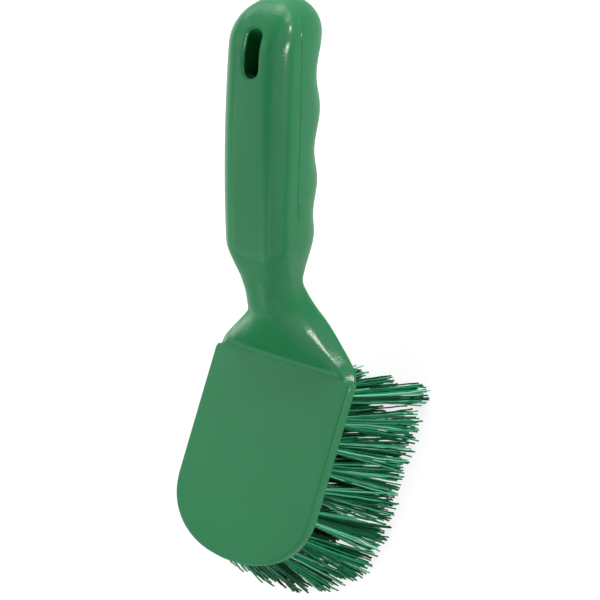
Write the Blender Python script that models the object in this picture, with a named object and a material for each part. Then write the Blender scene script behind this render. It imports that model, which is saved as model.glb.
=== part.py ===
"""Short-handled brush: one moulded stock, and bundles of filament driven into its head.

The head's front points along +X, the handle rises towards -X, and the strands end in the plane Z = 0.
"""

from collections import namedtuple
from math import atan2, cos, pi, radians, sin, sqrt, tan

import bmesh
import bpy
from mathutils import Matrix, Vector
from mathutils.bvhtree import BVHTree

MM = 0.001

# Head
HEAD_HALF_WIDTH = 38.6 * MM
HEAD_NOSE = 33 * MM
HEAD_SIDE_END = 104 * MM
HEAD_WALL = 6 * MM
HEAD_EDGE_ROUND = 1.8 * MM
HEAD_TOP_HEIGHT = 52 * MM
NOSE_POWER = 2.2
DOME_DEPTH = 11 * MM
DOME_NOSE = 39 * MM
DOME_TAIL_START = 50 * MM
DOME_TAIL_END = 92.5 * MM
DOME_TAIL_DROP = 3.5 * MM
NOSE_EDGE_SHARE = 0.9
DOME_SIDE_POWER = 2
DOME_DROP_POWER = 1
NOSE_FLAT = 0.15 * MM

# Neck: its top is arched across, between two tight edges
BEND_START = 98.1 * MM
NECK_RISE = radians(52.3)
NECK_IN_RADIUS = 12 * MM
NECK_RUN = 32.7 * MM
NECK_OUT_RADIUS = 35 * MM
NECK_HALF_WIDTH = 11.6 * MM
NECK_UP = 2.2 * MM
NECK_DOWN = 12.5 * MM
NECK_PARTING = -5 * MM
NECK_ROUND = 2.5 * MM
NECK_POWER = 3
NECK_CROWN = 10.8 * MM
CROWN_REACH = 1.05
CROWN_POWER = 2.5
CROWN_START = 102 * MM
CROWN_END = 138 * MM
WAIST = 148.4 * MM
SHOULDER_ROUND = 4 * MM
FLARE_POWER = 1.8
FLANK_HASTE = 1.8

# Grip
GRIP_SLOPE = radians(28.5)
GRIP_START = 175.2 * MM
GRIP_LENGTH = 125 * MM
GRIP_HALF_WIDTH = 15.2 * MM
GRIP_UP = 18.6 * MM
GRIP_DOWN = 20.2 * MM
GRIP_PARTING = 6 * MM
GRIP_ROUND_ACROSS = 9.5 * MM
GRIP_ROUND_DEEP = 8.5 * MM
GRIP_POWER = 3.2
GRIP_CROWN = 1 * MM
GRIP_SWELL = 1.2 * MM
GRIP_ARCH = 2.2 * MM
FINGER_PITCH = 33.5 * MM
FINGER_DEPTH = 4.6 * MM
FIRST_CREST = 165.2 * MM
END_ROUND = 17 * MM
END_TOP_ROUND = 23 * MM
END_POWER = 2.4
END_LEAN = radians(9)
END_FLAT = 0.15 * MM

# Hang slot
SLOT_WIDTH = 7 * MM
SLOT_LENGTH = 19.5 * MM
SLOT_FROM_END = 30 * MM
SLOT_LIP = 1.2 * MM

# Tufts
EDGE_MARGIN = 6 * MM
UPRIGHT_PLACE = 47 * MM
SIDE_LEAN = radians(25)
NOSE_LEAN = radians(20)
TAIL_LEAN = radians(14)
NOSE_LEAN_POWER = 1.2
TAIL_LEAN_POWER = 1.5
ROW_COUNTS = (19, 16, 13, 5)
LAST_TUFT = 91 * MM
HOLE_RADIUS = 3 * MM
HOLE_DEPTH = 7 * MM
ROOT_CLEARANCE = 0.3 * MM
ROOT_FOLD = 1.6 * MM
ROOT_STAND = 0.8 * MM
FOLD_RADIUS = 1.9 * MM
STRAND_INSET = 0.22 * MM
STRAND_TIP_RADIUS = 0.55 * MM
TUFT_SPREAD = 4.6 * MM
STRANDS_PER_TUFT = 8

CUT_OVERRUN = 5 * MM
PROBE = 0.1 * MM

# How many facets the curved stretches have
NOSE_RINGS = 10
HEAD_RINGS = 6
NECK_RINGS = 16
GRIP_RINGS = 30
END_RINGS = 7
FLAT_FACETS = 5
EDGE_FACETS = 4
DROP_FACETS = 7
HOLE_SIDES = 8
SLOT_END_FACETS = 8
PATH_STEPS = 240

Section = namedtuple("Section", "half_width up down parting across deep side_power drop_power crown")

HEAD_SECTION = Section(
    HEAD_HALF_WIDTH,
    HEAD_WALL,
    DOME_DEPTH,
    0,
    HEAD_EDGE_ROUND,
    HEAD_EDGE_ROUND,
    DOME_SIDE_POWER,
    DOME_DROP_POWER,
    0,
)
NECK_SECTION = Section(
    NECK_HALF_WIDTH,
    NECK_UP,
    NECK_DOWN,
    NECK_PARTING,
    NECK_ROUND,
    NECK_ROUND,
    NECK_POWER,
    NECK_POWER,
    NECK_CROWN,
)
GRIP_SECTION = Section(
    GRIP_HALF_WIDTH,
    GRIP_UP,
    GRIP_DOWN,
    GRIP_PARTING,
    GRIP_ROUND_ACROSS,
    GRIP_ROUND_DEEP,
    GRIP_POWER,
    GRIP_POWER,
    GRIP_CROWN,
)


def ease(share):
    """A smooth step from 0 to 1."""
    share = min(max(share, 0), 1)
    return share * share * (3 - 2 * share)


def blend(first, second, share):
    """The section part of the way from one section to another."""
    return Section(*(a + (b - a) * share for a, b in zip(first, second)))


def rounded_min(first, second, radius):
    """The smaller of two lengths, with the corner between them rounded."""
    return (first + second - sqrt((first - second) ** 2 + radius**2)) / 2


# Spine: the line that the sections are threaded on, measured from the head's front


def bend_in_end():
    return BEND_START + NECK_IN_RADIUS * NECK_RISE


def run_end():
    return bend_in_end() + NECK_RUN


def bend_out_end():
    return run_end() + NECK_OUT_RADIUS * (NECK_RISE - GRIP_SLOPE)


def spine_end():
    return bend_out_end() + GRIP_LENGTH


def spine(along):
    """Distance behind the head's front, height, and slope of the spine, after a length along it."""
    behind, height = min(along, BEND_START), HEAD_TOP_HEIGHT - HEAD_WALL
    if along <= BEND_START:
        return behind, height, 0
    slope = min((along - BEND_START) / NECK_IN_RADIUS, NECK_RISE)
    behind += NECK_IN_RADIUS * sin(slope)
    height += NECK_IN_RADIUS * (1 - cos(slope))
    if along <= bend_in_end():
        return behind, height, slope
    run = min(along, run_end()) - bend_in_end()
    behind += run * cos(NECK_RISE)
    height += run * sin(NECK_RISE)
    if along <= run_end():
        return behind, height, NECK_RISE
    slope = max(NECK_RISE - (along - run_end()) / NECK_OUT_RADIUS, GRIP_SLOPE)
    behind += NECK_OUT_RADIUS * (sin(NECK_RISE) - sin(slope))
    height += NECK_OUT_RADIUS * (cos(slope) - cos(NECK_RISE))
    rest = max(along - bend_out_end(), 0)
    return behind + rest * cos(GRIP_SLOPE), height + rest * sin(GRIP_SLOPE), slope


# Stock


def nose_half_width(along, half_width, nose):
    """Half the plan's width near a rounded front of the given half width and length."""
    share = min(max((nose - along) / nose, 0), 1)
    return half_width * (1 - share**NOSE_POWER) ** (1 / NOSE_POWER)


def dome_depth(along):
    """Depth of the underside's dome on the centre line: it dips at the front and eases at the rear."""
    front = 1 - (1 - min(along / DOME_NOSE, 1)) ** 2
    rear = max(along - DOME_TAIL_START, 0) / (DOME_TAIL_END - DOME_TAIL_START)
    return DOME_DEPTH * front - DOME_TAIL_DROP * min(rear, 1) ** 2


def head_section(along):
    """The head's section: the edge round is stretched where the outline turns across the section."""
    half_width = nose_half_width(along, HEAD_HALF_WIDTH, HEAD_NOSE)
    turn = (nose_half_width(along + PROBE, HEAD_HALF_WIDTH, HEAD_NOSE) - half_width) / PROBE
    across = min(HEAD_EDGE_ROUND * sqrt(1 + turn**2), half_width * NOSE_EDGE_SHARE)
    dip = HEAD_EDGE_ROUND - min(along, HEAD_EDGE_ROUND)
    up = HEAD_WALL - HEAD_EDGE_ROUND + sqrt(HEAD_EDGE_ROUND**2 - dip**2)
    deep = min(HEAD_EDGE_ROUND, up)
    return HEAD_SECTION._replace(
        half_width=half_width, up=up, down=dome_depth(along), across=across, deep=deep
    )


def flared_half_width(along):
    """Half width from the head's straight sides, round the shoulder, to the waist of the neck."""
    share = max(WAIST - along, 0) / (WAIST - HEAD_SIDE_END)
    flare = NECK_HALF_WIDTH + (HEAD_HALF_WIDTH - NECK_HALF_WIDTH) * share**FLARE_POWER
    return rounded_min(HEAD_HALF_WIDTH, flare, SHOULDER_ROUND * min(share, 1))


def finger_dip(along):
    """How far the finger places are sunk into the grip's underside."""
    turns = (along - FIRST_CREST) / FINGER_PITCH
    return FINGER_DEPTH * (1 - cos(2 * pi * turns)) / 2 * ease(turns)


def end_share(along, length):
    """How much of the full section is left near the grip's end, rounded over a length."""
    share = min(max((along - (spine_end() - length)) / length, 0), 1)
    return (1 - share**END_POWER) ** (1 / END_POWER)


def stock_section(along):
    """The stock's section at a length along the spine."""
    if along <= BEND_START:
        return head_section(along)
    if along <= WAIST:
        share = (along - BEND_START) / (WAIST - BEND_START)
        plain = blend(head_section(BEND_START), NECK_SECTION, ease(share))
        early = blend(head_section(BEND_START), NECK_SECTION, ease(share * FLANK_HASTE))
        top = HEAD_WALL + (NECK_UP + NECK_CROWN - HEAD_WALL) * ease(share)
        arching = ease((along - CROWN_START) / (CROWN_END - CROWN_START))
        up = HEAD_WALL + (NECK_UP - HEAD_WALL) * arching
        return plain._replace(
            half_width=flared_half_width(along),
            up=up,
            down=early.down,
            parting=early.parting,
            side_power=early.side_power,
            drop_power=early.drop_power,
            crown=max(top - up, 0),
        )
    plain = blend(NECK_SECTION, GRIP_SECTION, ease((along - WAIST) / (GRIP_START - WAIST)))
    share = end_share(along, END_ROUND)
    top_share = end_share(along, END_TOP_ROUND)
    bulge = sin(pi * (along - WAIST) / (spine_end() - WAIST))
    return plain._replace(
        half_width=(plain.half_width + GRIP_SWELL * bulge) * share,
        up=(plain.up + GRIP_ARCH * bulge) * top_share,
        down=(plain.down - finger_dip(along)) * share,
        parting=plain.parting * top_share,
        across=plain.across * share,
        deep=plain.deep * top_share,
        crown=plain.crown * top_share,
    )


def arch_share(aside):
    """Height of the crown, from 1 in the middle to 0 at the side: the upper part of an oval."""
    foot = (1 - CROWN_REACH**-CROWN_POWER) ** (1 / CROWN_POWER)
    height = (1 - (abs(aside) / CROWN_REACH) ** CROWN_POWER) ** (1 / CROWN_POWER)
    return (height - foot) / (1 - foot)


def half_outline(section):
    """Points from the top's centre, over the edge and down the wall, to the underside's centre."""
    flat = section.half_width - section.across
    points = [(flat * step / FLAT_FACETS, section.up) for step in range(FLAT_FACETS)]
    for step in range(EDGE_FACETS + 1):
        turn = pi / 2 * step / EDGE_FACETS
        points.append(
            (flat + section.across * sin(turn), section.up - section.deep * (1 - cos(turn)))
        )
    depth = section.parting + section.down
    for step in range(DROP_FACETS + 1):
        turn = pi / 2 * step / DROP_FACETS
        across = section.half_width * max(cos(turn), 0) ** (2 / section.side_power)
        points.append((across, section.parting - depth * sin(turn) ** (2 / section.drop_power)))
    arched = []
    for across, height in points:
        over = max(height - section.parting, 0) / (section.up - section.parting)
        arch = section.crown * arch_share(across / section.half_width) * over
        arched.append((across, height + arch))
    arched[-1] = (0, arched[-1][1])
    return arched


def ring(along):
    """World points of the stock's section, which is square to the spine but leans at the grip's end."""
    behind, height, slope = spine(along)
    lean = slope + END_LEAN * ease((along - (spine_end() - END_TOP_ROUND)) / END_TOP_ROUND)
    half = half_outline(stock_section(along))
    outline = half + [(-across, up) for across, up in reversed(half[1:-1])]
    return [Vector((-behind + up * sin(lean), across, height + up * cos(lean))) for across, up in outline]


def steps(first, last, count):
    return [first + (last - first) * step / count for step in range(count)]


def stations():
    """Where the rings go along the spine: close together on the nose, in the neck and at the end."""
    nose = [
        NOSE_FLAT + (HEAD_NOSE - NOSE_FLAT) * (1 - cos(pi / 2 * step / NOSE_RINGS))
        for step in range(NOSE_RINGS)
    ]
    end = [
        spine_end() - END_TOP_ROUND + (END_TOP_ROUND - END_FLAT) * sin(pi / 2 * step / END_RINGS)
        for step in range(END_RINGS + 1)
    ]
    return (
        nose
        + steps(HEAD_NOSE, BEND_START, HEAD_RINGS)
        + steps(BEND_START, WAIST, NECK_RINGS)
        + steps(WAIST, end[0], GRIP_RINGS)
        + end
    )


def add_object(name, work, material):
    mesh = bpy.data.meshes.new(name)
    work.normal_update()
    work.to_mesh(mesh)
    work.free()
    item = bpy.data.objects.new(name, mesh)
    bpy.context.collection.objects.link(item)
    if material is None:
        item.hide_render = True
        item.display_type = "WIRE"
    else:
        mesh.materials.append(material)
    return item


def smooth(item, angle):
    item.data.shade_smooth()
    item.data.set_sharp_from_angle(angle=angle)


def loft(rings):
    """A closed body through rings of equally many points."""
    work = bmesh.new()
    rows = [[work.verts.new(point) for point in points] for points in rings]
    for row, following in zip(rows, rows[1:]):
        for index in range(len(row)):
            last = (index + 1) % len(row)
            work.faces.new((row[index], following[index], following[last], row[last]))
    work.faces.new(rows[0])
    work.faces.new(list(reversed(rows[-1])))
    bmesh.ops.recalc_face_normals(work, faces=work.faces)
    return work


def cut(item, cutter):
    modifier = item.modifiers.new("cut", "BOOLEAN")
    modifier.operation = "DIFFERENCE"
    modifier.solver = "EXACT"
    modifier.object = cutter


def slot_outline(wider):
    """Plan of the hang slot, made wider all round."""
    radius = SLOT_WIDTH / 2 + wider
    straight = (SLOT_LENGTH - SLOT_WIDTH) / 2
    points = []
    for side in (1, -1):
        for step in range(SLOT_END_FACETS + 1):
            turn = pi * (step / SLOT_END_FACETS - 1 / 2)
            points.append((side * (straight + radius * cos(turn)), side * radius * sin(turn)))
    return points


def slot_cutter(body):
    """The hang slot runs straight down through the grip, and its lips follow the grip's own faces."""
    faces = BVHTree.FromBMesh(body)
    behind, height, _ = spine(spine_end() - SLOT_FROM_END)
    rings = []
    for facing, wider, above in (
        (-1, SLOT_LIP * 2, SLOT_LIP),
        (-1, 0, -SLOT_LIP),
        (1, 0, -SLOT_LIP),
        (1, SLOT_LIP * 2, SLOT_LIP),
    ):
        points = []
        for x, y in slot_outline(wider):
            outside = Vector((x - behind, y, height + facing * GRIP_LENGTH))
            met = faces.ray_cast(outside, Vector((0, 0, -facing)))[0]
            points.append(met + Vector((0, 0, facing * above)))
        rings.append(points)
    work = loft(rings)
    bmesh.ops.triangulate(work, faces=work.faces)
    return add_object("slot_cutter", work, None)


# Tufts


def underside(along, across):
    """Point on the head's domed underside."""
    section = head_section(along)
    share = (1 - abs(across / section.half_width) ** DOME_SIDE_POWER) ** (1 / DOME_DROP_POWER)
    return Vector((-along, across, HEAD_TOP_HEIGHT - HEAD_WALL - section.down * share))


def outward(along, across):
    """Direction of a tuft: it leans outward more the further it stands from the upright ones."""
    aside = tan(SIDE_LEAN) * across / (HEAD_HALF_WIDTH - EDGE_MARGIN)
    if along < UPRIGHT_PLACE:
        share = (UPRIGHT_PLACE - along) / (UPRIGHT_PLACE - EDGE_MARGIN)
        ahead = tan(NOSE_LEAN) * share**NOSE_LEAN_POWER
    else:
        share = (along - UPRIGHT_PLACE) / (LAST_TUFT - UPRIGHT_PLACE)
        ahead = -tan(TAIL_LEAN) * share**TAIL_LEAN_POWER
    return Vector((ahead, aside, -1)).normalized()


def row_path(row):
    """The U-shaped line of one row of tufts, inside the head's outline, from one rear end to the other."""
    share = row / (len(ROW_COUNTS) - 1)
    inset = EDGE_MARGIN + (HEAD_HALF_WIDTH - EDGE_MARGIN) * share
    if share == 1:
        return [(LAST_TUFT, 0), (inset, 0)]
    half_width = HEAD_HALF_WIDTH - inset
    nose = max(HEAD_NOSE - inset, 0)
    front = max(HEAD_NOSE, inset)
    side = []
    for step in range(PATH_STEPS + 1):
        turn = pi / 2 * step / PATH_STEPS
        across = half_width * cos(turn) ** (2 / NOSE_POWER)
        side.append((front - nose * sin(turn) ** (2 / NOSE_POWER), across))
    right = [(LAST_TUFT, half_width)] + side
    return right + [(along, -across) for along, across in reversed(right[:-1])]


def evenly(path, count):
    """Points at even lengths along a path, both ends included."""
    lengths = [0]
    for first, last in zip(path, path[1:]):
        lengths.append(lengths[-1] + (Vector(last) - Vector(first)).length)
    found = []
    for number in range(count):
        wanted = lengths[-1] * number / (count - 1)
        place = next((i for i in range(1, len(path)) if lengths[i] >= wanted), len(path) - 1)
        share = (wanted - lengths[place - 1]) / (lengths[place] - lengths[place - 1])
        found.append(Vector(path[place - 1]).lerp(Vector(path[place]), share))
    return found


def tuft_places():
    """Every tuft's name, root on the underside and direction."""
    for row, count in enumerate(ROW_COUNTS):
        for number, (along, across) in enumerate(evenly(row_path(row), count)):
            yield f"tuft_r{row + 1}_{number + 1:02d}", underside(along, across), outward(along, across)


def tuft_frame(root, direction):
    """Matrix whose +Z is the tuft's direction, and whose X axis leans towards the head's front."""
    aside = direction.cross(Vector((1, 0, 0))).normalized()
    forward = aside.cross(direction).normalized()
    turned = Matrix((forward, -aside, direction)).transposed()
    if turned.determinant() < 0:
        turned = Matrix((forward, aside, direction)).transposed()
    return Matrix.Translation(root) @ turned.to_4x4()


def polygon(radius, height, sides, frame):
    return [
        frame @ Vector((radius * cos(2 * pi * step / sides), radius * sin(2 * pi * step / sides), height))
        for step in range(sides)
    ]


def hole_cutters(places):
    """One body for each blind hole, square to the underside, all in one cutter."""
    work = bmesh.new()
    for _, root, direction in places:
        frame = tuft_frame(root, direction)
        rows = [
            [work.verts.new(point) for point in polygon(HOLE_RADIUS, height, HOLE_SIDES, frame)]
            for height in (-HOLE_DEPTH, CUT_OVERRUN)
        ]
        for index in range(HOLE_SIDES):
            last = (index + 1) % HOLE_SIDES
            work.faces.new((rows[0][index], rows[0][last], rows[1][last], rows[1][index]))
        work.faces.new(list(reversed(rows[0])))
        work.faces.new(rows[1])
    bmesh.ops.recalc_face_normals(work, faces=work.faces)
    return add_object("hole_cutters", work, None)


def make_stock(places):
    work = loft([ring(along) for along in stations()])
    cutter = slot_cutter(work)
    stock = add_object("stock", work, stock_material())
    cut(stock, cutter)
    cut(stock, hole_cutters(places))
    smooth(stock, radians(40))
    return stock


def make_tuft(name, root, direction, material):
    """A folded root in its hole, and strands that fan out of it and end in the plane Z = 0."""
    frame = tuft_frame(root, direction)
    radius = HOLE_RADIUS - ROOT_CLEARANCE
    bottom = -HOLE_DEPTH + ROOT_CLEARANCE
    work = bmesh.new()
    rows = []
    for size, height in ((FOLD_RADIUS, bottom), (radius, bottom + ROOT_FOLD), (radius, ROOT_STAND)):
        rows.append([work.verts.new(point) for point in polygon(size, height, STRANDS_PER_TUFT, frame)])
    for row, following in zip(rows, rows[1:]):
        for index in range(STRANDS_PER_TUFT):
            last = (index + 1) % STRANDS_PER_TUFT
            work.faces.new((row[index], row[last], following[last], following[index]))
    work.faces.new(list(reversed(rows[0])))
    centre = work.verts.new(frame @ Vector((0, 0, ROOT_STAND)))
    sectors = []
    for index in range(STRANDS_PER_TUFT):
        last = (index + 1) % STRANDS_PER_TUFT
        sectors.append(work.faces.new((centre, rows[-1][index], rows[-1][last])))
    bmesh.ops.recalc_face_normals(work, faces=work.faces)
    bmesh.ops.inset_individual(work, faces=sectors, thickness=STRAND_INSET, use_even_offset=True)
    tips = bmesh.ops.extrude_discrete_faces(work, faces=sectors)["faces"]
    reach = root.z / -direction.z
    for tip in tips:
        middle = frame.inverted() @ tip.calc_center_median()
        turn = atan2(middle.y, middle.x)
        heart = frame @ Vector((TUFT_SPREAD * cos(turn), TUFT_SPREAD * sin(turn), reach))
        start = tip.calc_center_median()
        heading = (heart - start).normalized()
        for corner in tip.verts:
            offset = corner.co - start
            thin = offset * (STRAND_TIP_RADIUS / offset.length)
            tip_point = heart + thin
            corner.co = tip_point - heading * (tip_point.z / heading.z)
    tuft = add_object(name, work, material)
    smooth(tuft, radians(50))
    return tuft


# Materials


def plastic(name, colour, roughness):
    material = bpy.data.materials.new(name)
    material.use_nodes = True
    shader = material.node_tree.nodes["Principled BSDF"]
    shader.inputs["Base Color"].default_value = (*colour, 1)
    shader.inputs["Roughness"].default_value = roughness
    shader.inputs["Metallic"].default_value = 0
    return material


def stock_material():
    return plastic("green_moulding", (0.052, 0.222, 0.102), 0.42)


def filament_material():
    return plastic("green_filament", (0.030, 0.190, 0.085), 0.35)


def centre_on_origin(items):
    """Move everything along X so that the origin is below the middle of the whole brush."""
    bpy.context.view_layer.update()
    ends = [item.matrix_world @ Vector(corner) for item in items for corner in item.bound_box]
    middle = (min(point.x for point in ends) + max(point.x for point in ends)) / 2
    for item in bpy.data.objects:
        item.location.x -= middle
    return middle


def main():
    for item in list(bpy.data.objects):
        bpy.data.objects.remove(item, do_unlink=True)
    places = list(tuft_places())
    items = [make_stock(places)]
    material = filament_material()
    items += [make_tuft(name, root, direction, material) for name, root, direction in places]
    middle = centre_on_origin(items)
    print(f"{len(items)} pieces; the head's front is {-middle / MM:.2f} mm ahead of the origin")


main()
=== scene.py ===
"""Finish of the short-handled brush: a smooth stock, separate filaments in each tuft, and a studio."""

from collections import namedtuple
from math import atan2, cos, pi, radians, sin, sqrt, tan

import bmesh
import bpy
import numpy as np
from mathutils import Matrix, Vector
from mathutils.bvhtree import BVHTree


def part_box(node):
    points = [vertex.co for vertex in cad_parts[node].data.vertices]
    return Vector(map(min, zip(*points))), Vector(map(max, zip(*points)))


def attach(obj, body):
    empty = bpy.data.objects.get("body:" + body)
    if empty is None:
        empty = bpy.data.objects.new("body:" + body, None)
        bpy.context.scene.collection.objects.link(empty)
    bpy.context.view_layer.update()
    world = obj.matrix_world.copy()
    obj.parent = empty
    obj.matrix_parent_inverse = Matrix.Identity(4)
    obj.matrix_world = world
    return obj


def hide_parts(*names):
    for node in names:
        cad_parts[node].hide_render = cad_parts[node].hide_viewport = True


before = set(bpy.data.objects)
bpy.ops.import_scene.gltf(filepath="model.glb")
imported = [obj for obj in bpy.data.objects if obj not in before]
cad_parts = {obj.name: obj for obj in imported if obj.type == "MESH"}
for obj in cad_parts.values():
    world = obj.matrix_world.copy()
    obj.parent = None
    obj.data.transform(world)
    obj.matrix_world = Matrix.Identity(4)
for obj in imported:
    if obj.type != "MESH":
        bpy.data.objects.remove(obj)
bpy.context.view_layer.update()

MM = 0.001

# Head
HEAD_HALF_WIDTH = 38.6 * MM
HEAD_NOSE = 33 * MM
HEAD_SIDE_END = 104 * MM
HEAD_WALL = 6 * MM
HEAD_EDGE_ROUND = 1.8 * MM
HEAD_TOP_HEIGHT = 52 * MM
NOSE_POWER = 2.2
DOME_DEPTH = 11 * MM
DOME_NOSE = 39 * MM
DOME_TAIL_START = 50 * MM
DOME_TAIL_END = 92.5 * MM
DOME_TAIL_DROP = 3.5 * MM
DOME_SIDE_POWER = 2
DOME_DROP_POWER = 1
NOSE_EDGE_SHARE = 0.9
NOSE_FLAT = 0.15 * MM

# Neck
BEND_START = 98.1 * MM
NECK_RISE = radians(52.3)
NECK_IN_RADIUS = 12 * MM
NECK_RUN = 32.7 * MM
NECK_OUT_RADIUS = 35 * MM
NECK_HALF_WIDTH = 11.6 * MM
NECK_UP = 2.2 * MM
NECK_DOWN = 12.5 * MM
NECK_PARTING = -5 * MM
NECK_ROUND = 2.5 * MM
NECK_POWER = 3
WAIST = 148.4 * MM
SHOULDER_ROUND = 4 * MM
FLARE_POWER = 1.8
FLANK_HASTE = 1.8
NECK_CROWN = 10.8 * MM
CROWN_REACH = 1.05
CROWN_POWER = 2.5
CROWN_START = 102 * MM
CROWN_END = 138 * MM

# Grip
GRIP_SLOPE = radians(28.5)
GRIP_START = 175.2 * MM
GRIP_LENGTH = 125 * MM
GRIP_HALF_WIDTH = 15.2 * MM
GRIP_UP = 18.6 * MM
GRIP_DOWN = 20.2 * MM
GRIP_PARTING = 6 * MM
GRIP_ROUND_ACROSS = 9.5 * MM
GRIP_ROUND_DEEP = 8.5 * MM
GRIP_POWER = 3.2
GRIP_CROWN = 1 * MM
GRIP_SWELL = 1.2 * MM
GRIP_ARCH = 2.2 * MM
FINGER_PITCH = 33.5 * MM
FINGER_DEPTH = 4.6 * MM
FIRST_CREST = 165.2 * MM
END_ROUND = 17 * MM
END_TOP_ROUND = 23 * MM
END_POWER = 2.4
END_LEAN = radians(9)
END_FLAT = 0.15 * MM

# Hang slot
SLOT_WIDTH = 7 * MM
SLOT_LENGTH = 19.5 * MM
SLOT_FROM_END = 30 * MM
SLOT_LIP = 1.5 * MM
SLOT_LIP_TURN = radians(75)
SLOT_LIP_REACH = 1.5 * MM
CUT_OVERRUN = 9 * MM

# Details too fine for the CAD solids: a facet on each shoulder and the mould's parting line
FACET_INSET = 3.2 * MM
FACET_DROP = 4 * MM
FACET_ROUND_SHARE = 0.4
FACET_WALL_SHARE = 0.7
FACET_START = 97 * MM
FACET_FULL = 101 * MM
FACET_END = 127 * MM
FACET_POWER = 1.2
FACET_CORNER = 0.9 * MM
SHOULDER_SOFT_ACROSS = 2 * MM
SHOULDER_SOFT_DEEP = 1.2 * MM
SHOULDER_SOFT_FADE = 10 * MM
SEAM_HALF_WIDTH = 0.35 * MM
SEAM_DEPTH = 0.36 * MM
SEAM_FROM = 182 * MM
SEAM_FADE = 18 * MM

# Tufts
EDGE_MARGIN = 6 * MM
UPRIGHT_PLACE = 47 * MM
UPRIGHT = radians(3)
SIDE_LEAN = radians(25)
NOSE_LEAN = radians(20)
TAIL_LEAN = radians(14)
NOSE_LEAN_POWER = 1.2
TAIL_LEAN_POWER = 1.5
ROW_COUNTS = (19, 16, 13, 5)
LAST_TUFT = 91 * MM
HOLE_RADIUS = 3 * MM
HOLE_DEPTH = 7 * MM

# Filaments
FILAMENTS = 54
FILAMENT_RADIUS = 0.43 * MM
FILAMENT_SIDES = 6
FILAMENT_STEPS = 9
FILAMENT_START = -3.5 * MM
BUNDLE_RADIUS = 2.5 * MM
FAN_ALONG_ROW = 9.4 * MM
FAN_ACROSS_ROW = 5.4 * MM
FAN_STRAY = 0.8 * MM
FAN_POWER = 1.1
INNER_FAN_POWER = 0.75
BOW = 1.1 * MM
WAVE = 0.22 * MM
WAVES = 4.5
RAGGED = 3.2 * MM
RAGGED_POWER = 2
THICKNESS_SHARES = (0.85, 1.12)
GOLDEN_TURN = pi * (3 - sqrt(5))
SEED = 11
UNLIKE_ANY_FILAMENT = (1.0, 0.3, 0.0)

# Mesh fineness
NOSE_RINGS = 46
HEAD_RINGS = 40
NECK_RINGS = 90
GRIP_RINGS = 190
END_RINGS = 34
FLAT_FACETS = 12
EDGE_FACETS = 12
CORNER_FACETS = 4
DROP_FACETS = 40
HOLE_SIDES = 20
SLOT_END_FACETS = 20
SLOT_SIDE_FACETS = 12
SLOT_LIP_RINGS = 6
PATH_STEPS = 240
PROBE = 0.1 * MM
LEAST = 0.005 * MM
STOCK_SMOOTH = radians(38)
FILAMENT_SMOOTH = radians(65)

# Colours, as places on a ramp with their red, green and blue
PIGMENT_CLOUDS = ((0.3, (0.0155, 0.177, 0.0632)), (0.7, (0.0165, 0.188, 0.0672)))
FILAMENT_TONES = ((0, (0.001, 0.045, 0.014)), (0.65, (0.014, 0.262, 0.110)), (1, (0.220, 0.680, 0.450)))
TONE_POWER = 1.3

# Skin of the moulding: clouds in the pigment and a fine pebbled grain
CLOUD_SCALE = 45
CLOUD_DETAIL = 3
GRAIN_SCALE = 900
GRAIN_DETAIL = 2
GRAIN_STRENGTH = 0.35
GRAIN_DEPTH = 0.2 * MM

# Gloss: level on plain faces, a painted highlight as more gloss on slopes that face up and to the side, and
# how it fades and blurs where it is seen edge on
STOCK_SHEEN = 0.12
# Painted highlight: the gloss level on slopes that face up and to the side, where the lamps glint
PAINTED_HIGHLIGHT_SHEEN = 0.42
HIGHLIGHT_SLANT_FROM = 0.3
HIGHLIGHT_SLANT_FULL = 0.44
FILAMENT_SHEEN = 0.08
EDGE_SHARE = 0.05
EDGE_FROM = 0.4
STOCK_ROUGHNESS = 0.2
FILAMENT_ROUGHNESS = 0.25
GLANCE_FROM = 0.75
GLANCE_ROUGHNESS = 0.8

# Camera: where it looks and from where
PHOTO_LENS = 78
CAMERA_DISTANCE = 624 * MM
CAMERA_TILT = radians(28)
CAMERA_ROLL = radians(16.32)
AIM_BEHIND_NOSE = 129.8 * MM
AIM_ASIDE = 0.3 * MM
AIM_HEIGHT = 52.5 * MM
NEAREST_SEEN = 10 * MM

# Floor: pale for light, less pale where it is seen, with a glow that grows away from the brush
FLOOR_HALF_WIDTH = 3
FLOOR_GAP = 0.3 * MM
FLOOR_PALE = 0.86
FLOOR_SEEN = 0.3
FLOOR_NEAR = 0.3
FLOOR_FAR = 0.8
FLOOR_GLOW = 0.8
FLOOR_FAR_GLOW = 1
FLOOR_ROUGHNESS = 0.9

# Lamps: name, compass turn and rise in degrees, side or sides in metres, watts
LAMP_DISTANCE = 1.1
LAMP_AIM_HEIGHT = 80 * MM
LAMPS = (
    ("behind_low", 180, 12, (0.9, 0.5), 6.68),
    ("right_low", 97, 12, 0.27, 5.5),
    ("left_ahead", 330, 24, (1.0, 0.8), 4.75),
    ("left_high_ahead", 288, 52, 0.85, 4.23),
    ("left_rear_low", 210, 12, (0.9, 0.5), 3.57),
    ("left_high", 252, 52, 0.85, 3.22),
    ("ahead", 0, 24, (1.0, 0.8), 3.6),
    ("left_rear", 210, 28, 0.85, 2.66),
    ("right_rear_spot", 138, 12, 0.15, 2.6),
    ("left_low", 300, 12, (0.9, 0.5), 1.04),
    ("rear_low", 150, 12, (0.9, 0.5), 0.2),
)

NOSE_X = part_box("stock")[1].x + NOSE_FLAT

Section = namedtuple("Section", "half_width up down parting across deep side_power drop_power crown")

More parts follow.
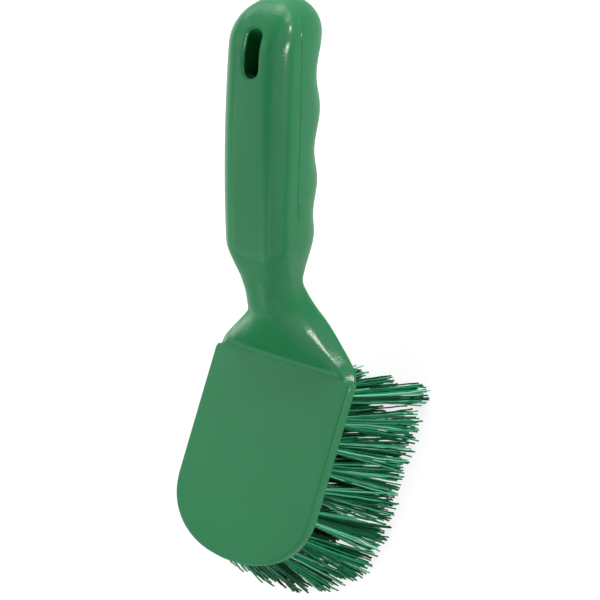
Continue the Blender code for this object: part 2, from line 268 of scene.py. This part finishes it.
HEAD_SECTION = Section(
    HEAD_HALF_WIDTH,
    HEAD_WALL,
    DOME_DEPTH,
    0,
    HEAD_EDGE_ROUND,
    HEAD_EDGE_ROUND,
    DOME_SIDE_POWER,
    DOME_DROP_POWER,
    0,
)
NECK_SECTION = Section(
    NECK_HALF_WIDTH,
    NECK_UP,
    NECK_DOWN,
    NECK_PARTING,
    NECK_ROUND,
    NECK_ROUND,
    NECK_POWER,
    NECK_POWER,
    NECK_CROWN,
)
GRIP_SECTION = Section(
    GRIP_HALF_WIDTH,
    GRIP_UP,
    GRIP_DOWN,
    GRIP_PARTING,
    GRIP_ROUND_ACROSS,
    GRIP_ROUND_DEEP,
    GRIP_POWER,
    GRIP_POWER,
    GRIP_CROWN,
)


def ease(share):
    """A smooth step from 0 to 1."""
    share = min(max(share, 0), 1)
    return share * share * (3 - 2 * share)


def blend(first, second, share):
    """The section part of the way from one section to another."""
    return Section(*(a + (b - a) * share for a, b in zip(first, second)))


def rounded_min(first, second, radius):
    """The smaller of two lengths, with the corner between them rounded."""
    return (first + second - sqrt((first - second) ** 2 + radius**2)) / 2


# Spine of the stock, the same as in the CAD


def bend_in_end():
    return BEND_START + NECK_IN_RADIUS * NECK_RISE


def run_end():
    return bend_in_end() + NECK_RUN


def bend_out_end():
    return run_end() + NECK_OUT_RADIUS * (NECK_RISE - GRIP_SLOPE)


def spine_end():
    return bend_out_end() + GRIP_LENGTH


def spine(along):
    """Distance behind the head's front, height, and slope of the spine, after a length along it."""
    behind, height = min(along, BEND_START), HEAD_TOP_HEIGHT - HEAD_WALL
    if along <= BEND_START:
        return behind, height, 0
    slope = min((along - BEND_START) / NECK_IN_RADIUS, NECK_RISE)
    behind += NECK_IN_RADIUS * sin(slope)
    height += NECK_IN_RADIUS * (1 - cos(slope))
    if along <= bend_in_end():
        return behind, height, slope
    run = min(along, run_end()) - bend_in_end()
    behind += run * cos(NECK_RISE)
    height += run * sin(NECK_RISE)
    if along <= run_end():
        return behind, height, NECK_RISE
    slope = max(NECK_RISE - (along - run_end()) / NECK_OUT_RADIUS, GRIP_SLOPE)
    behind += NECK_OUT_RADIUS * (sin(NECK_RISE) - sin(slope))
    height += NECK_OUT_RADIUS * (cos(slope) - cos(NECK_RISE))
    rest = max(along - bend_out_end(), 0)
    return behind + rest * cos(GRIP_SLOPE), height + rest * sin(GRIP_SLOPE), slope


# Sections of the stock


def nose_half_width(along, half_width, nose):
    """Half width of an outline with a rounded nose, at a distance behind its front."""
    share = min(max((nose - along) / nose, 0), 1)
    return half_width * (1 - share**NOSE_POWER) ** (1 / NOSE_POWER)


def dome_depth(along):
    """How far the head's underside bulges down: less at the nose and towards the rear."""
    front = 1 - (1 - min(along / DOME_NOSE, 1)) ** 2
    rear = max(along - DOME_TAIL_START, 0) / (DOME_TAIL_END - DOME_TAIL_START)
    return DOME_DEPTH * front - DOME_TAIL_DROP * min(rear, 1) ** 2


def head_section(along):
    """The head's section: the edge round is stretched where the outline turns across the section."""
    half_width = nose_half_width(along, HEAD_HALF_WIDTH, HEAD_NOSE)
    turn = (nose_half_width(along + PROBE, HEAD_HALF_WIDTH, HEAD_NOSE) - half_width) / PROBE
    across = min(HEAD_EDGE_ROUND * sqrt(1 + turn**2), half_width * NOSE_EDGE_SHARE)
    dip = HEAD_EDGE_ROUND - min(along, HEAD_EDGE_ROUND)
    up = HEAD_WALL - HEAD_EDGE_ROUND + sqrt(HEAD_EDGE_ROUND**2 - dip**2)
    deep = min(HEAD_EDGE_ROUND, up)
    return HEAD_SECTION._replace(
        half_width=half_width, up=up, down=dome_depth(along), across=across, deep=deep
    )


def flared_half_width(along):
    """Half width from the head's straight sides, round the shoulder, to the waist of the neck."""
    share = max(WAIST - along, 0) / (WAIST - HEAD_SIDE_END)
    flare = NECK_HALF_WIDTH + (HEAD_HALF_WIDTH - NECK_HALF_WIDTH) * share**FLARE_POWER
    return rounded_min(HEAD_HALF_WIDTH, flare, SHOULDER_ROUND * min(share, 1))


def finger_dip(along):
    """How far the finger places are sunk into the grip's underside."""
    turns = (along - FIRST_CREST) / FINGER_PITCH
    return FINGER_DEPTH * (1 - cos(2 * pi * turns)) / 2 * ease(turns)


def end_share(along, length):
    """How much of the full section is left near the grip's end, rounded over a length."""
    share = min(max((along - (spine_end() - length)) / length, 0), 1)
    return (1 - share**END_POWER) ** (1 / END_POWER)


def stock_section(along):
    """The stock's section at a length along the spine."""
    if along <= BEND_START:
        return head_section(along)
    if along <= WAIST:
        share = (along - BEND_START) / (WAIST - BEND_START)
        plain = blend(head_section(BEND_START), NECK_SECTION, ease(share))
        early = blend(head_section(BEND_START), NECK_SECTION, ease(share * FLANK_HASTE))
        top = HEAD_WALL + (NECK_UP + NECK_CROWN - HEAD_WALL) * ease(share)
        arching = ease((along - CROWN_START) / (CROWN_END - CROWN_START))
        up = HEAD_WALL + (NECK_UP - HEAD_WALL) * arching
        return plain._replace(
            half_width=flared_half_width(along),
            up=up,
            down=early.down,
            parting=early.parting,
            side_power=early.side_power,
            drop_power=early.drop_power,
            crown=max(top - up, 0),
        )
    plain = blend(NECK_SECTION, GRIP_SECTION, ease((along - WAIST) / (GRIP_START - WAIST)))
    share = end_share(along, END_ROUND)
    top_share = end_share(along, END_TOP_ROUND)
    bulge = sin(pi * (along - WAIST) / (spine_end() - WAIST))
    return plain._replace(
        half_width=(plain.half_width + GRIP_SWELL * bulge) * share,
        up=(plain.up + GRIP_ARCH * bulge) * top_share,
        down=(plain.down - finger_dip(along)) * share,
        parting=plain.parting * top_share,
        across=plain.across * share,
        deep=plain.deep * top_share,
        crown=plain.crown * top_share,
    )


def seam_depth(along):
    """Depth of the mould's parting line in the grip's flanks, which dies out at both ends."""
    return SEAM_DEPTH * ease((along - SEAM_FROM) / SEAM_FADE) * ease((spine_end() - along) / SEAM_FADE)


def arch_share(aside):
    """Height of the crown from 1 in the middle to 0 at the side: the upper part of an ellipse."""
    foot = (1 - CROWN_REACH**-CROWN_POWER) ** (1 / CROWN_POWER)
    height = (1 - (abs(aside) / CROWN_REACH) ** CROWN_POWER) ** (1 / CROWN_POWER)
    return (height - foot) / (1 - foot)


def facet_opening(along):
    """How far the shoulder's facet has opened, from 0 on the head to 1."""
    return ease((along - FACET_START) / (FACET_FULL - FACET_START))


def facet_inset(along):
    """How far the shoulder's facet is set in from the flank."""
    closing = min(max((FACET_END - along) / (FACET_END - FACET_FULL), 0), 1)
    return FACET_INSET * facet_opening(along) * closing**FACET_POWER


def softened(section, along):
    """The section with a larger edge round on the shoulder, where the facet is."""
    share = facet_opening(along) * ease((FACET_END + SHOULDER_SOFT_FADE - along) / SHOULDER_SOFT_FADE)
    return section._replace(
        across=section.across + SHOULDER_SOFT_ACROSS * share,
        deep=section.deep + SHOULDER_SOFT_DEEP * share,
    )


def top_points(section, inset, drop):
    """Points from the top's centre, over the edge round, to where the facet starts."""
    last_turn = atan2(drop * section.across, inset * section.deep)
    flat = section.half_width - inset - section.across * sin(last_turn)
    points = [(flat * step / FLAT_FACETS, section.up) for step in range(FLAT_FACETS)]
    for step in range(EDGE_FACETS + 1):
        turn = last_turn * step / EDGE_FACETS
        points.append(
            (flat + section.across * sin(turn), section.up - section.deep * (1 - cos(turn)))
        )
    return points


def corner_points(section, inset, drop, corner, near):
    """Points of the small round where the facet meets the wall."""
    points = []
    for step in range(CORNER_FACETS + 1):
        share = step / CORNER_FACETS
        back = near * (1 - share) ** 2
        across = section.half_width - back * inset / drop
        points.append((across, corner + back - near * share**2))
    return points


def seam_points(section, seam, width):
    """Points of the parting line's groove: two on the wall above it, its bottom and its lower lip."""
    depth = section.parting + section.down
    share = min(width / depth, sin(pi / 2 / DROP_FACETS) ** (2 / section.drop_power) / 2)
    across = section.half_width * (1 - share**section.drop_power) ** (1 / section.side_power)
    return [
        (section.half_width, section.parting + 2 * width),
        (section.half_width, section.parting + width),
        (section.half_width - seam, section.parting),
        (across, section.parting - depth * share),
    ]


def under_points(section):
    """Points of the rounded underside, from below the groove to the centre."""
    depth = section.parting + section.down
    points = []
    for step in range(1, DROP_FACETS + 1):
        turn = pi / 2 * step / DROP_FACETS
        across = section.half_width * max(cos(turn), 0) ** (2 / section.side_power)
        points.append((across, section.parting - depth * sin(turn) ** (2 / section.drop_power)))
    return points


def arched(section, points):
    """The points with the section's crown added above the parting line."""
    raised = []
    for across, height in points:
        over = max(height - section.parting, 0) / (section.up - section.parting)
        arch = section.crown * arch_share(across / section.half_width) * over
        raised.append((across, height + arch))
    return raised


def half_outline(section, inset, seam):
    """Points from the top's centre, over the edge and down the wall, to the underside's centre."""
    wall = section.up - section.deep * FACET_ROUND_SHARE - section.parting
    drop = min(FACET_DROP, wall * FACET_WALL_SHARE)
    points = top_points(section, inset, drop)
    foot = points[-1][1]
    drop = min(drop, max(foot - section.parting, LEAST) * FACET_WALL_SHARE)
    corner = foot - drop
    near = min(FACET_CORNER, drop / 2, (corner - section.parting) / 4)
    points += corner_points(section, inset, drop, corner, near)
    width = max(min(SEAM_HALF_WIDTH, (corner - near - section.parting) / 3), LEAST)
    points += seam_points(section, seam, width) + under_points(section)
    outline = arched(section, points)
    outline[-1] = (0, outline[-1][1])
    return outline


def ring(along):
    """World points of the stock's section, which is square to the spine but leans at the grip's end."""
    behind, height, slope = spine(along)
    lean = slope + END_LEAN * ease((along - (spine_end() - END_TOP_ROUND)) / END_TOP_ROUND)
    section = softened(stock_section(along), along)
    half = half_outline(section, facet_inset(along), seam_depth(along))
    outline = half + [(-across, up) for across, up in reversed(half[1:-1])]
    return [
        Vector((NOSE_X - behind + up * sin(lean), across, height + up * cos(lean)))
        for across, up in outline
    ]


def steps(first, last, count):
    """Evenly spaced places from the first, without the last."""
    return [first + (last - first) * step / count for step in range(count)]


def stations():
    """Where the rings go along the spine: close together on the nose, in the neck and at the end."""
    nose = [
        NOSE_FLAT + (HEAD_NOSE - NOSE_FLAT) * (1 - cos(pi / 2 * step / NOSE_RINGS))
        for step in range(NOSE_RINGS)
    ]
    end = [
        spine_end() - END_TOP_ROUND + (END_TOP_ROUND - END_FLAT) * sin(pi / 2 * step / END_RINGS)
        for step in range(END_RINGS + 1)
    ]
    return (
        nose
        + steps(HEAD_NOSE, BEND_START, HEAD_RINGS)
        + steps(BEND_START, WAIST, NECK_RINGS)
        + steps(WAIST, end[0], GRIP_RINGS)
        + end
    )


# Mesh helpers


def add_object(name, work):
    """A new object in the scene with the mesh being worked on."""
    mesh = bpy.data.meshes.new(name)
    work.normal_update()
    work.to_mesh(mesh)
    work.free()
    item = bpy.data.objects.new(name, mesh)
    bpy.context.scene.collection.objects.link(item)
    return item


def loft(rings):
    """A closed body through rings of equally many points."""
    work = bmesh.new()
    rows = [[work.verts.new(point) for point in points] for points in rings]
    for row, following in zip(rows, rows[1:]):
        for index in range(len(row)):
            last = (index + 1) % len(row)
            work.faces.new((row[index], following[index], following[last], row[last]))
    work.faces.new(rows[0])
    work.faces.new(list(reversed(rows[-1])))
    bmesh.ops.recalc_face_normals(work, faces=work.faces)
    return work


def carve(item, cutters):
    """Cut the cutters out of a piece, and keep the result as its own mesh."""
    for cutter in cutters:
        modifier = item.modifiers.new("cut", "BOOLEAN")
        modifier.operation = "DIFFERENCE"
        modifier.solver = "EXACT"
        modifier.object = cutter
    graph = bpy.context.evaluated_depsgraph_get()
    carved = bpy.data.meshes.new_from_object(item.evaluated_get(graph))
    item.modifiers.clear()
    item.data = carved
    for cutter in cutters:
        bpy.data.objects.remove(cutter, do_unlink=True)


def stadium(extra):
    """The hang slot's plan outline, grown by a width all round."""
    radius = SLOT_WIDTH / 2 + extra
    straight = (SLOT_LENGTH - SLOT_WIDTH) / 2
    points = []
    for side in (1, -1):
        for step in range(SLOT_END_FACETS + 1):
            turn = pi * (step / SLOT_END_FACETS - 1 / 2)
            points.append((side * (straight + radius * cos(turn)), side * radius * sin(turn)))
        for step in range(1, SLOT_SIDE_FACETS):
            along = straight * (1 - 2 * step / SLOT_SIDE_FACETS)
            points.append((side * along, side * radius))
    return points


def slot_cutter(stock):
    """The hang slot, with rounded lips that follow the grip's own faces."""
    tree = BVHTree.FromObject(stock, bpy.context.evaluated_depsgraph_get())
    behind, height, _ = spine(spine_end() - SLOT_FROM_END)
    middle = Vector((NOSE_X - behind, 0, height))

    def lip_ring(facing, grown, depth):
        points = []
        for x, y in stadium(grown):
            start = middle + Vector((x, y, facing * GRIP_LENGTH))
            hit = tree.ray_cast(start, Vector((0, 0, -facing)))[0]
            points.append(Vector((hit.x, hit.y, hit.z - facing * depth)))
        return points

    def lip(facing):
        rings = []
        for step in range(SLOT_LIP_RINGS + 1):
            turn = SLOT_LIP_TURN * step / SLOT_LIP_RINGS
            rings.append(lip_ring(facing, SLOT_LIP * (1 - cos(turn)), SLOT_LIP * (1 - sin(turn))))
        grown = SLOT_LIP * (1 - cos(turn)) + SLOT_LIP_REACH * sin(turn)
        depth = SLOT_LIP * (1 - sin(turn)) - SLOT_LIP_REACH * cos(turn)
        rings.append(lip_ring(facing, grown, depth))
        rings.append(lip_ring(facing, grown, -CUT_OVERRUN))
        return rings

    work = loft(list(reversed(lip(-1))) + lip(1))
    bmesh.ops.triangulate(work, faces=work.faces)
    return add_object("slot_cutter", work)


# Places of the tufts, the same as in the CAD


def underside(along, across):
    """Point on the head's domed underside."""
    section = head_section(along)
    share = (1 - abs(across / section.half_width) ** DOME_SIDE_POWER) ** (1 / DOME_DROP_POWER)
    return Vector((NOSE_X - along, across, HEAD_TOP_HEIGHT - HEAD_WALL - section.down * share))


def outward(along, across):
    """Direction of a tuft: it leans outward more the further it stands from the upright ones."""
    aside = tan(SIDE_LEAN) * across / (HEAD_HALF_WIDTH - EDGE_MARGIN)
    if along < UPRIGHT_PLACE:
        share = (UPRIGHT_PLACE - along) / (UPRIGHT_PLACE - EDGE_MARGIN)
        ahead = tan(NOSE_LEAN) * share**NOSE_LEAN_POWER
    else:
        share = (along - UPRIGHT_PLACE) / (LAST_TUFT - UPRIGHT_PLACE)
        ahead = -tan(TAIL_LEAN) * share**TAIL_LEAN_POWER
    return Vector((ahead, aside, -1)).normalized()


def row_path(row):
    """The U-shaped line of one row of tufts, inside the head's outline, from one rear end to the other."""
    share = row / (len(ROW_COUNTS) - 1)
    inset = EDGE_MARGIN + (HEAD_HALF_WIDTH - EDGE_MARGIN) * share
    if share == 1:
        return [(LAST_TUFT, 0), (inset, 0)]
    half_width = HEAD_HALF_WIDTH - inset
    nose = max(HEAD_NOSE - inset, 0)
    front = max(HEAD_NOSE, inset)
    side = []
    for step in range(PATH_STEPS + 1):
        turn = pi / 2 * step / PATH_STEPS
        across = half_width * cos(turn) ** (2 / NOSE_POWER)
        side.append((front - nose * sin(turn) ** (2 / NOSE_POWER), across))
    right = [(LAST_TUFT, half_width)] + side
    return right + [(along, -across) for along, across in reversed(right[:-1])]


def evenly(path, count):
    """Points at even lengths along a path, both ends included."""
    lengths = [0]
    for first, last in zip(path, path[1:]):
        lengths.append(lengths[-1] + (Vector(last) - Vector(first)).length)
    found = []
    for number in range(count):
        wanted = lengths[-1] * number / (count - 1)
        place = next((i for i in range(1, len(path)) if lengths[i] >= wanted), len(path) - 1)
        share = (wanted - lengths[place - 1]) / (lengths[place] - lengths[place - 1])
        found.append(Vector(path[place - 1]).lerp(Vector(path[place]), share))
    return found


def tuft_places():
    """Every tuft's name, root on the underside and direction."""
    for row, count in enumerate(ROW_COUNTS):
        for number, (along, across) in enumerate(evenly(row_path(row), count)):
            yield f"r{row + 1}_{number + 1:02d}", underside(along, across), outward(along, across)


def tuft_frame(root, direction):
    """Matrix whose +Z is the tuft's direction, and whose X axis leans towards the head's front."""
    aside = direction.cross(Vector((1, 0, 0))).normalized()
    forward = aside.cross(direction).normalized()
    turned = Matrix((forward, aside, direction)).transposed()
    return Matrix.Translation(root) @ turned.to_4x4()


def fan_frame(root, direction):
    """Matrix whose +X runs along the tuft's row, and +Z along the tuft."""
    along = Vector((-direction.y, direction.x, 0))
    along = along.normalized() if along.length > sin(UPRIGHT) else Vector((1, 0, 0))
    turned = Matrix((along, direction.cross(along), direction)).transposed()
    return Matrix.Translation(root) @ turned.to_4x4()


def polygon(radius, height, sides, placed):
    """Points of a regular polygon, square to the Z axis of a matrix."""
    points = []
    for step in range(sides):
        turn = 2 * pi * step / sides
        points.append(placed @ Vector((radius * cos(turn), radius * sin(turn), height)))
    return points


def hole_cutters(places):
    """One body for each blind hole, all in one cutter."""
    work = bmesh.new()
    for _, root, direction in places:
        placed = tuft_frame(root, direction)
        rows = [
            [work.verts.new(point) for point in polygon(HOLE_RADIUS, height, HOLE_SIDES, placed)]
            for height in (-HOLE_DEPTH, HOLE_DEPTH)
        ]
        for index in range(HOLE_SIDES):
            last = (index + 1) % HOLE_SIDES
            work.faces.new((rows[0][index], rows[0][last], rows[1][last], rows[1][index]))
        work.faces.new(list(reversed(rows[0])))
        work.faces.new(rows[1])
    bmesh.ops.recalc_face_normals(work, faces=work.faces)
    return add_object("hole_cutters", work)


# Pieces


def make_stock(places):
    """The smooth moulding, with its slot and holes, in place of the CAD's."""
    stock = add_object("moulded_stock", loft([ring(along) for along in stations()]))
    carve(stock, [slot_cutter(stock), hole_cutters(places)])
    stock.data.shade_smooth()
    stock.data.set_sharp_from_angle(angle=STOCK_SMOOTH)
    stock.data.materials.clear()
    stock.data.materials.append(moulding_material())
    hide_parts("stock")
    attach(stock, "root")


def filament_paths(root, direction, inner, last, rng):
    """Centre lines of one tuft's filaments, from inside its hole to the trimmed ends."""
    placed = np.array(fan_frame(root, direction))
    number = np.arange(FILAMENTS)
    spiral = np.sqrt((number + 0.5) / FILAMENTS)
    turn = number * GOLDEN_TURN + rng.uniform(0, 2 * pi)
    aim = np.stack([spiral * np.cos(turn), spiral * np.sin(turn)], 1)
    fan_along = FAN_ACROSS_ROW if last else FAN_ALONG_ROW
    tip = aim * (fan_along, FAN_ACROSS_ROW) + rng.normal(0, FAN_STRAY, (FILAMENTS, 2))
    base = aim * BUNDLE_RADIUS
    reach = root.z / -direction.z
    cut = rng.uniform(0, 1, FILAMENTS) ** RAGGED_POWER * RAGGED
    bow = rng.normal(0, 1, (FILAMENTS, 2)) * BOW
    phase = rng.uniform(0, 2 * pi, (FILAMENTS, 2))
    share = np.linspace(0, 1, FILAMENT_STEPS)[None, :, None]
    fan = share ** (INNER_FAN_POWER if inner else FAN_POWER)
    across = base[:, None] + (tip - base)[:, None] * fan
    across = across + bow[:, None] * share * (1 - share) * 2
    across = across + WAVE * share * np.sin(2 * pi * WAVES * share + phase[:, None])
    height = FILAMENT_START + (reach - FILAMENT_START) * share
    points = np.concatenate([across, np.broadcast_to(height, across.shape[:2] + (1,))], 2)
    points = points @ placed[:3, :3].T + placed[:3, 3]
    top = points[:, :1, 2:]
    floor = points[:, -1:, 2:]
    squeeze = (top - cut[:, None, None]) / (top - floor)
    points[:, :, 2:] = top + (points[:, :, 2:] - top) * squeeze
    return points


def rod_points(paths, rng):
    """Points round the filaments' centre lines, none of them below the floor."""
    along = np.gradient(paths, axis=1)
    along /= np.linalg.norm(along, axis=2, keepdims=True)
    aside = np.cross(along, UNLIKE_ANY_FILAMENT)
    aside /= np.linalg.norm(aside, axis=2, keepdims=True)
    other = np.cross(along, aside)
    turn = 2 * pi * np.arange(FILAMENT_SIDES) / FILAMENT_SIDES
    radius = FILAMENT_RADIUS * rng.uniform(*THICKNESS_SHARES, (FILAMENTS, 1, 1, 1))
    around = aside[:, :, None] * np.cos(turn)[:, None] + other[:, :, None] * np.sin(turn)[:, None]
    points = (paths[:, :, None] + around * radius).reshape(-1, 3)
    points[:, 2] = np.maximum(points[:, 2], 0)
    return points


def rod_faces():
    """Faces of one tuft's filaments: the walls, then the caps in the hole and the cut ends."""
    index = np.arange(FILAMENTS * FILAMENT_STEPS * FILAMENT_SIDES)
    index = index.reshape(FILAMENTS, FILAMENT_STEPS, FILAMENT_SIDES)
    near, far = index[:, :-1], index[:, 1:]
    walls = np.stack([near, np.roll(near, -1, 2), np.roll(far, -1, 2), far], 3).reshape(-1, 4)
    faces = [tuple(face) for face in walls.tolist()]
    faces += [tuple(reversed(face)) for face in index[:, 0].tolist()]
    faces += [tuple(face) for face in index[:, -1].tolist()]
    return faces


def make_tuft(name, root, direction, material, rng):
    """One tuft as separate filaments, each a closed round rod with a flat cut end."""
    inner = not name.startswith("r1")
    last = root.x < NOSE_X - LAST_TUFT + HOLE_RADIUS
    points = rod_points(filament_paths(root, direction, inner, last, rng), rng)
    mesh = bpy.data.meshes.new(f"filaments_{name}")
    mesh.from_pydata(points.tolist(), [], rod_faces())
    mesh.shade_smooth()
    mesh.set_sharp_from_angle(angle=FILAMENT_SMOOTH)
    tone = mesh.attributes.new("tone", "FLOAT", "POINT")
    tones = rng.uniform(0, 1, FILAMENTS) ** TONE_POWER
    tones = np.repeat(tones, FILAMENT_STEPS * FILAMENT_SIDES)
    tone.data.foreach_set("value", tones.astype(np.float32))
    mesh.materials.append(material)
    tuft = bpy.data.objects.new(f"filaments_{name}", mesh)
    bpy.context.scene.collection.objects.link(tuft)
    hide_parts(f"tuft_{name}")
    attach(tuft, "root")


# Materials


def new_material(name):
    """A new material, with its nodes and links."""
    material = bpy.data.materials.new(name)
    material.use_nodes = True
    return material, material.node_tree.nodes, material.node_tree.links


def math_node(nodes, links, operation, first, second=None):
    """The result of a sum on one or two values."""
    node = nodes.new("ShaderNodeMath")
    node.operation = operation
    links.new(first, node.inputs[0])
    if second:
        links.new(second, node.inputs[1])
    return node.outputs["Value"]


def ranged(nodes, links, value, from_min, from_max, to_min, to_max):
    """A value carried over from one range to another, and held at its ends."""
    node = nodes.new("ShaderNodeMapRange")
    node.inputs["From Min"].default_value = from_min
    node.inputs["From Max"].default_value = from_max
    node.inputs["To Min"].default_value = to_min
    node.inputs["To Max"].default_value = to_max
    links.new(value, node.inputs["Value"])
    return node.outputs["Result"]


def noise(nodes, links, place, scale, detail):
    """Cloudy noise over a place."""
    node = nodes.new("ShaderNodeTexNoise")
    node.inputs["Scale"].default_value = scale
    node.inputs["Detail"].default_value = detail
    links.new(place, node.inputs["Vector"])
    return node.outputs["Fac"]


def tinted(nodes, links, value, stops):
    """The colour at a value from 0 to 1, from stops with a place and a colour each."""
    ramp = nodes.new("ShaderNodeValToRGB")
    elements = ramp.color_ramp.elements
    for place, _ in stops[1:-1]:
        elements.new(place)
    for element, (place, colour) in zip(elements, stops):
        element.position = place
        element.color = (*colour, 1)
    links.new(value, ramp.inputs["Fac"])
    return ramp.outputs["Color"]


def add_sheen(nodes, links, level, highlight_sheen, roughness):
    """A gloss raised on slopes that face up and to the side as a painted highlight, which fades and blurs
    where the surface is seen edge on.
    """
    shape = nodes.new("ShaderNodeNewGeometry")
    normal = nodes.new("ShaderNodeSeparateXYZ")
    links.new(shape.outputs["Normal"], normal.inputs["Vector"])
    # Painted highlight: the gloss rises with how far the surface faces up and to the side in world axes
    aside = math_node(nodes, links, "ABSOLUTE", normal.outputs["Y"])
    slanted = math_node(nodes, links, "MULTIPLY", aside, normal.outputs["Z"])
    gloss = ranged(nodes, links, slanted, HIGHLIGHT_SLANT_FROM, HIGHLIGHT_SLANT_FULL, level, highlight_sheen)
    view = nodes.new("ShaderNodeLayerWeight")
    fade = ranged(nodes, links, view.outputs["Facing"], EDGE_FROM, 1, 1, EDGE_SHARE)
    sheen = math_node(nodes, links, "MULTIPLY", gloss, fade)
    links.new(sheen, nodes["Principled BSDF"].inputs["Specular IOR Level"])
    blur = ranged(nodes, links, view.outputs["Facing"], GLANCE_FROM, 1, roughness, GLANCE_ROUGHNESS)
    links.new(blur, nodes["Principled BSDF"].inputs["Roughness"])


def moulding_material():
    """Green moulding: a low sheen, a fine pebbled skin and slight clouds in the pigment."""
    material, nodes, links = new_material("moulded_green")
    shader = nodes["Principled BSDF"]
    place = nodes.new("ShaderNodeTexCoord").outputs["Object"]
    clouds = noise(nodes, links, place, CLOUD_SCALE, CLOUD_DETAIL)
    links.new(tinted(nodes, links, clouds, PIGMENT_CLOUDS), shader.inputs["Base Color"])
    # Low sheen, with a painted highlight as more gloss on slopes that face up and to the side
    add_sheen(nodes, links, STOCK_SHEEN, PAINTED_HIGHLIGHT_SHEEN, STOCK_ROUGHNESS)
    bump = nodes.new("ShaderNodeBump")
    bump.inputs["Strength"].default_value = GRAIN_STRENGTH
    bump.inputs["Distance"].default_value = GRAIN_DEPTH
    links.new(noise(nodes, links, place, GRAIN_SCALE, GRAIN_DETAIL), bump.inputs["Height"])
    links.new(bump.outputs["Normal"], shader.inputs["Normal"])
    return material


def filament_material():
    """Green filament: a low sheen, and each strand with its own depth of colour."""
    material, nodes, links = new_material("filament_green")
    tone = nodes.new("ShaderNodeAttribute")
    tone.attribute_name = "tone"
    colour = tinted(nodes, links, tone.outputs["Fac"], FILAMENT_TONES)
    links.new(colour, nodes["Principled BSDF"].inputs["Base Color"])
    add_sheen(nodes, links, FILAMENT_SHEEN, FILAMENT_SHEEN, FILAMENT_ROUGHNESS)
    return material


# Studio


def seen_rays(nodes, links):
    """1 for the rays that see the background, straight, mirrored or through glass, and 0 for the others."""
    path = nodes.new("ShaderNodeLightPath")
    mirrored = math_node(
        nodes, links, "MAXIMUM", path.outputs["Is Camera Ray"], path.outputs["Is Glossy Ray"]
    )
    return math_node(nodes, links, "MAXIMUM", mirrored, path.outputs["Is Transmission Ray"])


def make_floor():
    """A pale floor that looks white where nothing shades it, and everywhere further off."""
    half = FLOOR_HALF_WIDTH
    corners = [(-half, -half, 0), (half, -half, 0), (half, half, 0), (-half, half, 0)]
    mesh = bpy.data.meshes.new("floor")
    mesh.from_pydata(corners, [], [(0, 1, 2, 3)])
    floor = bpy.data.objects.new("floor", mesh)
    bpy.context.scene.collection.objects.link(floor)
    floor.location.z = -FLOOR_GAP
    material, nodes, links = new_material("floor_white")
    shader = nodes["Principled BSDF"]
    shader.inputs["Roughness"].default_value = FLOOR_ROUGHNESS
    seen = seen_rays(nodes, links)
    links.new(ranged(nodes, links, seen, 0, 1, FLOOR_PALE, FLOOR_SEEN), shader.inputs["Base Color"])
    shape = nodes.new("ShaderNodeNewGeometry")
    distance = nodes.new("ShaderNodeVectorMath")
    distance.operation = "LENGTH"
    links.new(shape.outputs["Position"], distance.inputs[0])
    level = ranged(
        nodes, links, distance.outputs["Value"], FLOOR_NEAR, FLOOR_FAR, FLOOR_GLOW, FLOOR_FAR_GLOW
    )
    glow = nodes.new("ShaderNodeEmission")
    links.new(math_node(nodes, links, "MULTIPLY", seen, level), glow.inputs["Strength"])
    add = nodes.new("ShaderNodeAddShader")
    links.new(shader.outputs["BSDF"], add.inputs[0])
    links.new(glow.outputs["Emission"], add.inputs[1])
    links.new(add.outputs["Shader"], nodes["Material Output"].inputs["Surface"])
    mesh.materials.append(material)


def add_lamp(name, turn, rise, size, power):
    """A softbox that looks at the brush, from a compass turn (0 is ahead of the nose) and a rise."""
    away = Vector((cos(rise) * cos(turn), cos(rise) * sin(turn), sin(rise)))
    aim = Vector((0, 0, LAMP_AIM_HEIGHT))
    data = bpy.data.lights.new(name, "AREA")
    data.shape = "RECTANGLE"
    data.size, data.size_y = size if isinstance(size, tuple) else (size, size)
    data.energy = power
    lamp = bpy.data.objects.new(name, data)
    bpy.context.scene.collection.objects.link(lamp)
    lamp.location = aim + away * LAMP_DISTANCE
    lamp.rotation_euler = (-away).to_track_quat("-Z", "Y").to_euler()


def make_lights():
    """The lamps, and a world that is white where it is seen, straight or mirrored."""
    for name, turn, rise, size, power in LAMPS:
        add_lamp(name, radians(turn), radians(rise), size, power)
    world = bpy.data.worlds.new("studio")
    world.use_nodes = True
    nodes, links = world.node_tree.nodes, world.node_tree.links
    nodes["Background"].inputs["Color"].default_value = (1, 1, 1, 1)
    links.new(seen_rays(nodes, links), nodes["Background"].inputs["Strength"])
    bpy.context.scene.world = world


def make_camera():
    """The photograph's view: from above the head's +Y side, rolled so that the handle leans."""
    ahead = Vector((0, -sin(CAMERA_TILT), -cos(CAMERA_TILT)))
    level = Vector((0, cos(CAMERA_TILT), -sin(CAMERA_TILT)))
    nose = Vector((1, 0, 0))
    right = level * cos(CAMERA_ROLL) - nose * sin(CAMERA_ROLL)
    down = level * sin(CAMERA_ROLL) + nose * cos(CAMERA_ROLL)
    data = bpy.data.cameras.new("camera")
    data.lens = PHOTO_LENS
    data.clip_start = NEAREST_SEEN
    camera = bpy.data.objects.new("camera", data)
    bpy.context.scene.collection.objects.link(camera)
    aim = Vector((NOSE_X - AIM_BEHIND_NOSE, AIM_ASIDE, AIM_HEIGHT))
    turned = Matrix((right, -down, -ahead)).transposed().to_4x4()
    camera.matrix_world = Matrix.Translation(aim - ahead * CAMERA_DISTANCE) @ turned
    bpy.context.scene.camera = camera


def main():
    bpy.context.scene.view_settings.view_transform = "Standard"
    places = list(tuft_places())
    make_stock(places)
    material = filament_material()
    rng = np.random.default_rng(SEED)
    for name, root, direction in places:
        make_tuft(name, root, direction, material, rng)
    make_floor()
    make_lights()
    make_camera()


main()
